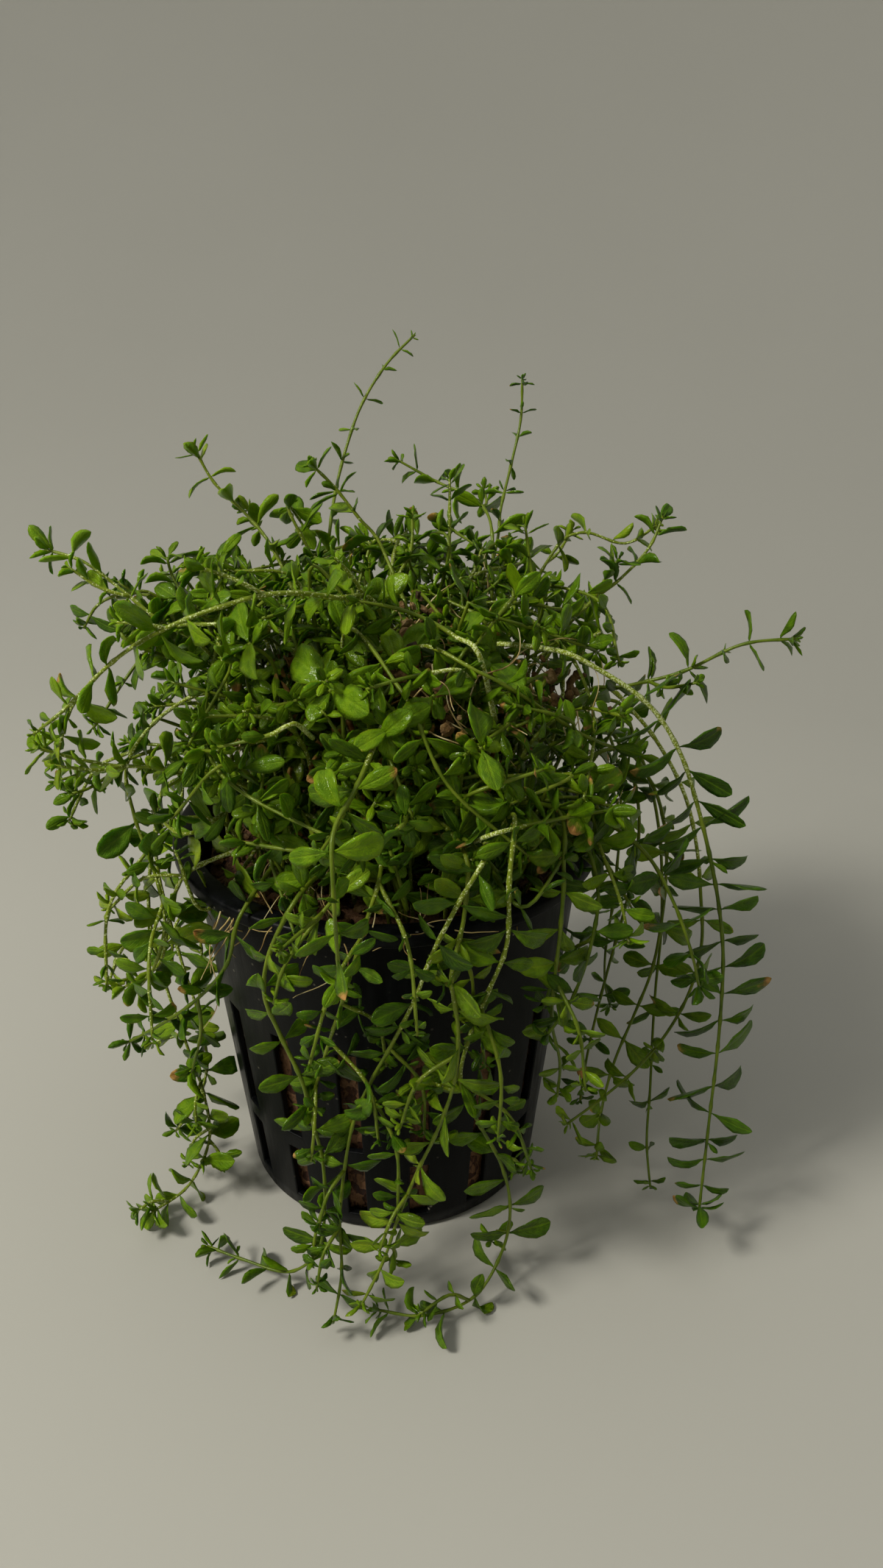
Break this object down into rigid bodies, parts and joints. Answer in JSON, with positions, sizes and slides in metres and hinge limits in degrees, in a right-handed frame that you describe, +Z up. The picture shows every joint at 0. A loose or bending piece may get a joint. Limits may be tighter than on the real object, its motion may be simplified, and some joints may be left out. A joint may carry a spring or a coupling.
{
  "type": "potted trailing aquarium plant",
  "caption": "Small bushy trailing aquarium plant with opposite oval leaves, growing from a fibrous plug in a tapered black slotted pot.",
  "frame": {"origin": "centre of the pot's flat base, on the surface that the pot stands on", "axes": "+Z up along the pot's axis; the side seen in the reference view faces -Y, and its right is +X"},
  "size_m": [0.0909, 0.0869, 0.1084],
  "materials": {
    "pot_plastic": "semi-gloss moulded black plastic",
    "growing_fibre": "damp crumbly reddish-brown plant fibre",
    "leaf_green": "soft glossy mid-green leaf",
    "leaf_deep_green": "soft glossy deep-green leaf",
    "leaf_pale_green": "soft glossy yellow-green leaf"
  },
  "bodies": {
    "root": {"pot": "pot_plastic", "growing_medium": "growing_fibre", "foliage_mound": "leaf_deep_green", "shoot_tall_back_left": "leaf_green", "shoot_tall_back_right": "leaf_deep_green", "shoot_upper_left": "leaf_pale_green", "shoot_upper_middle": "leaf_green", "shoot_upright_middle": "leaf_deep_green", "shoot_upright_right": "leaf_pale_green", "shoot_back_arc": "leaf_green", "shoot_right_back": "leaf_deep_green", "shoot_right_back_upper": "leaf_pale_green", "shoot_left_far": "leaf_green", "shoot_left_shoulder": "leaf_deep_green", "shoot_left_rosette": "leaf_pale_green", "shoot_right_arm": "leaf_green", "shoot_right_arch": "leaf_deep_green", "shoot_right_loop": "leaf_pale_green", "shoot_right_back_hang": "leaf_green", "shoot_right_thin": "leaf_deep_green", "shoot_right_inner": "leaf_pale_green", "shoot_front_right_short": "leaf_green", "shoot_front_right_curl": "leaf_deep_green", "shoot_front_right_drop": "leaf_pale_green", "shoot_front_long_right": "leaf_green", "shoot_front_long_left": "leaf_deep_green", "shoot_front_middle": "leaf_pale_green", "shoot_front_overhang": "leaf_green", "shoot_front_left_long": "leaf_deep_green", "shoot_front_left_short": "leaf_pale_green", "shoot_front_left_trail": "leaf_green", "shoot_left_tips": "leaf_deep_green", "shoot_left_hang": "leaf_pale_green", "shoot_left_long_arch": "leaf_green", "shoot_left_loop": "leaf_deep_green", "shoot_left_middle": "leaf_pale_green", "shoot_left_floor": "leaf_green", "shoot_left_low_hang": "leaf_deep_green", "shoot_left_low_side": "leaf_pale_green", "shoot_left_side": "leaf_green", "shoot_left_back_hang": "leaf_deep_green", "shoot_left_back": "leaf_pale_green", "shoot_back_hang_left": "leaf_green", "shoot_back_hang_middle": "leaf_deep_green", "shoot_back_hang_right": "leaf_pale_green", "shoot_right_back_low": "leaf_green", "shoot_right_side": "leaf_deep_green"}
  },
  "joints": []
}
